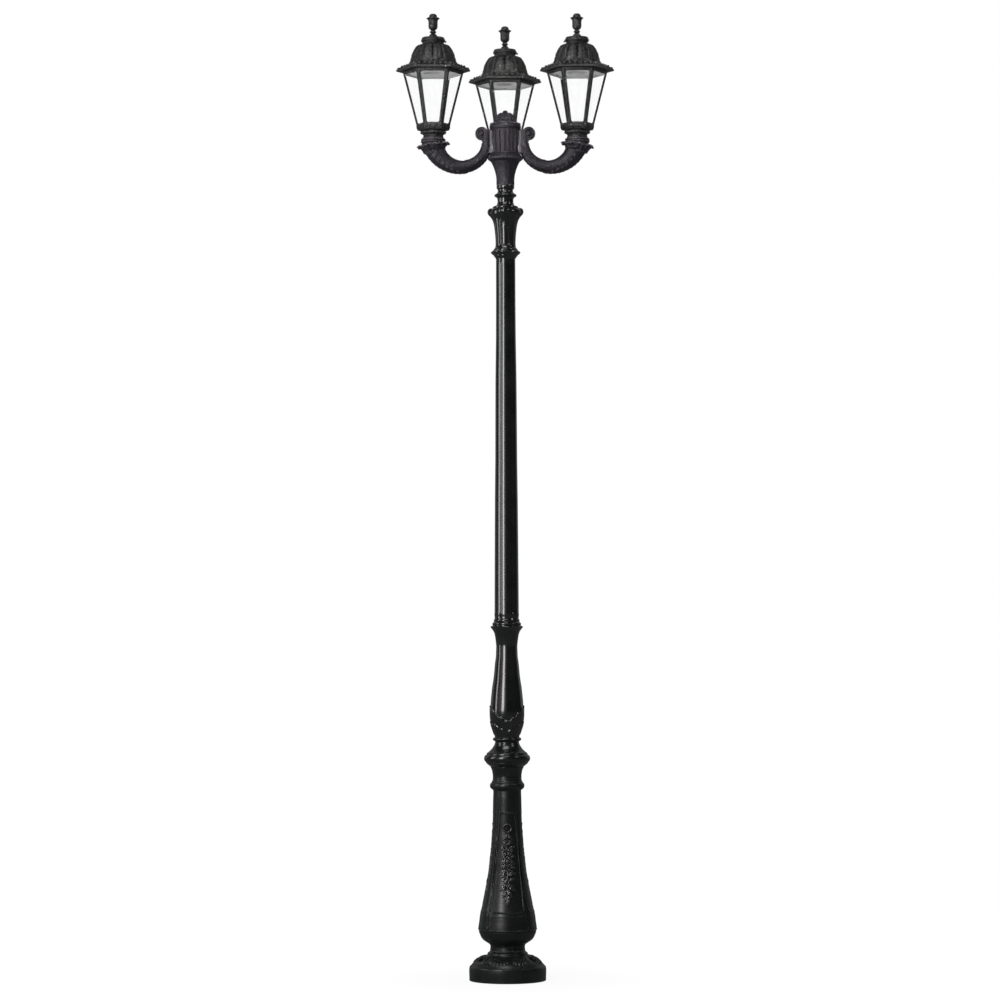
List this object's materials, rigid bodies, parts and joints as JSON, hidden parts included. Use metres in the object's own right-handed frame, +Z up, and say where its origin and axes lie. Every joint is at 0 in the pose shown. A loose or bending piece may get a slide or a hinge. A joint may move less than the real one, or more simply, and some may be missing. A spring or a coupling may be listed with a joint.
{
  "type": "triple head lamp post",
  "caption": "Ornamental cast lamp post: round foot, panelled pedestal, fluted tapered shaft, and U-shaped arms carrying hexagonal clear lanterns with lift-off caps.",
  "frame": {"origin": "on the post's axis, at the underside of the foot, where the cable enters", "axes": "+Z up the post; the arms with side lanterns lie along -X and +X; the rear arm and the service door are on +Y; -Y is the front"},
  "size_m": [0.766, 0.4986, 3.3865],
  "materials": {
    "post_gloss": "gloss",
    "bracket_cast": "satin",
    "lantern_paint": "satin",
    "clear_pane": "polished",
    "reflector_grey": "satin",
    "zinc_steel": "satin",
    "dark_screw": "satin",
    "lamp_ceramic": "gloss",
    "contact_brass": "satin",
    "block_plastic": "matte"
  },
  "bodies": {
    "post": {"arm_screws": "zinc_steel", "baluster": "post_gloss", "capital": "post_gloss", "earth_stud": "contact_brass", "foot_casting": "post_gloss", "gear_plate": "zinc_steel", "hub_body": "bracket_cast", "hub_cap": "bracket_cast", "hub_screws": "dark_screw", "knop": "post_gloss", "left_arm": "bracket_cast", "left_cage": "lantern_paint", "left_gallery": "lantern_paint", "left_lamp_holder": "lamp_ceramic", "left_nipple": "zinc_steel", "left_nipple_nut": "zinc_steel", "left_panes": "clear_pane", "left_reflector": "reflector_grey", "left_roof": "lantern_paint", "left_roof_screws": "zinc_steel", "left_screw_shell": "contact_brass", "pedestal": "post_gloss", "rear_arm": "bracket_cast", "rear_cage": "lantern_paint", "rear_gallery": "lantern_paint", "rear_lamp_holder": "lamp_ceramic", "rear_nipple": "zinc_steel", "rear_nipple_nut": "zinc_steel", "rear_panes": "clear_pane", "rear_reflector": "reflector_grey", "rear_roof": "lantern_paint", "rear_roof_screws": "zinc_steel", "rear_screw_shell": "contact_brass", "right_arm": "bracket_cast", "right_cage": "lantern_paint", "right_gallery": "lantern_paint", "right_lamp_holder": "lamp_ceramic", "right_nipple": "zinc_steel", "right_nipple_nut": "zinc_steel", "right_panes": "clear_pane", "right_reflector": "reflector_grey", "right_roof": "lantern_paint", "right_roof_screws": "zinc_steel", "right_screw_shell": "contact_brass", "shaft": "post_gloss", "spigot": "post_gloss", "terminal_block": "block_plastic", "tie_nuts": "zinc_steel", "tie_tube": "zinc_steel"},
    "left_cap": {"left_cap": "lantern_paint", "left_finial": "lantern_paint"},
    "left_cap_screw": {"left_cap_screw": "dark_screw"},
    "right_cap": {"right_cap": "lantern_paint", "right_finial": "lantern_paint"},
    "right_cap_screw": {"right_cap_screw": "dark_screw"},
    "rear_cap": {"rear_cap": "lantern_paint", "rear_finial": "lantern_paint"},
    "rear_cap_screw": {"rear_cap_screw": "dark_screw"},
    "service_door": {"service_door": "post_gloss"},
    "door_lock": {"door_lock": "dark_screw"}
  },
  "joints": [
    {"name": "left_cap_lift", "type": "slide", "parent": "post", "child": "left_cap", "axis": [0, 0, 1], "range_m": [0, 0.1]},
    {"name": "left_cap_screw_turn", "type": "hinge", "parent": "left_cap", "child": "left_cap_screw", "pos_m": [-0.253, 0, 3.287], "axis": [1, 0, 0], "continuous": true},
    {"name": "right_cap_lift", "type": "slide", "parent": "post", "child": "right_cap", "axis": [0, 0, 1], "range_m": [0, 0.1]},
    {"name": "right_cap_screw_turn", "type": "hinge", "parent": "right_cap", "child": "right_cap_screw", "pos_m": [0.253, 0, 3.287], "axis": [-1, 0, 0], "continuous": true},
    {"name": "rear_cap_lift", "type": "slide", "parent": "post", "child": "rear_cap", "axis": [0, 0, 1], "range_m": [0, 0.1]},
    {"name": "rear_cap_screw_turn", "type": "hinge", "parent": "rear_cap", "child": "rear_cap_screw", "pos_m": [0, 0.253, 3.287], "axis": [1, 0, 0], "continuous": true},
    {"name": "service_door_pull", "type": "slide", "parent": "post", "child": "service_door", "axis": [0, 1, 0], "range_m": [0, 0.12]},
    {"name": "door_lock_turn", "type": "hinge", "parent": "service_door", "child": "door_lock", "pos_m": [0, 0.06, 0.362], "axis": [0, 1, 0], "range_deg": [0, 90]}
  ]
}
